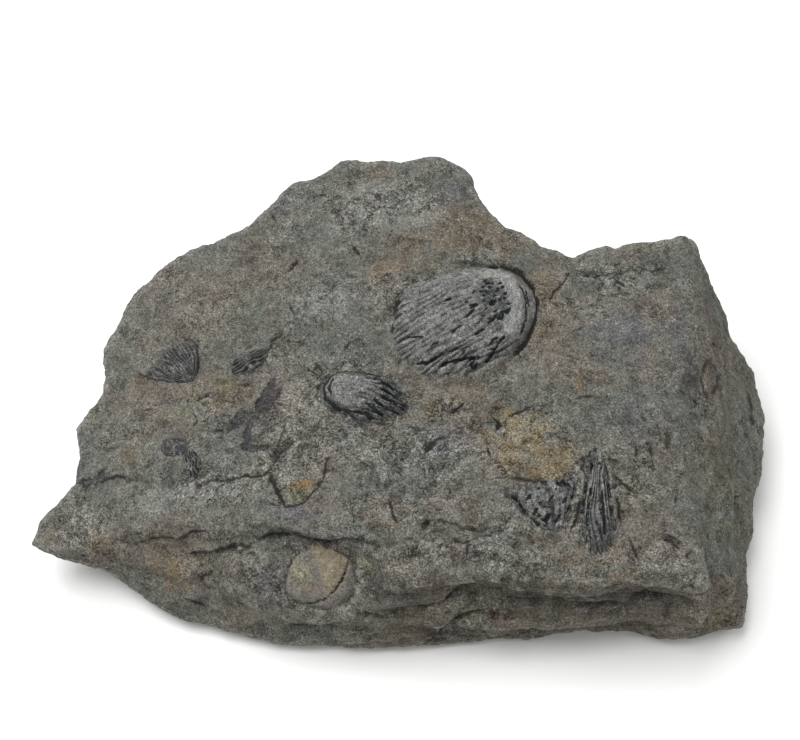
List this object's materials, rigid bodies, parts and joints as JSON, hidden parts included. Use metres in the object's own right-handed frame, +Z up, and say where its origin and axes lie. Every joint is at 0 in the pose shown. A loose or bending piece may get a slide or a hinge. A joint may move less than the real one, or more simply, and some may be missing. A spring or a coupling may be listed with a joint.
{
  "type": "fossil shells in stone",
  "caption": "Loose chunk of grey mudstone with ribbed fossil shells and a round cast set in its weathered upper face.",
  "frame": {"origin": "middle of the bounding box in plan, on the face that the block rests on", "axes": "+X along the long side, towards the thick end and away from the thin tip; +Y towards the high back edge; +Z up, out of the bedding face with the shells"},
  "size_m": [0.1598, 0.1038, 0.048],
  "materials": {
    "stone": "matt, weathered, finely pitted",
    "shell": "matt grey replaced shell, worn at the beak",
    "dark_shell": "matt dark grey replaced shell",
    "cast": "matt beige limestone filling"
  },
  "bodies": {
    "root": {"stone_block": "stone", "large_ribbed_shell": "shell", "oval_ribbed_shell": "shell", "fan_ribbed_shell": "shell", "broken_ribbed_shell": "shell", "small_ribbed_shell_left": "dark_shell", "small_ribbed_shell_right": "dark_shell", "ribbed_fragment": "dark_shell", "dark_round_shell": "dark_shell", "round_cast": "cast"}
  },
  "joints": []
}
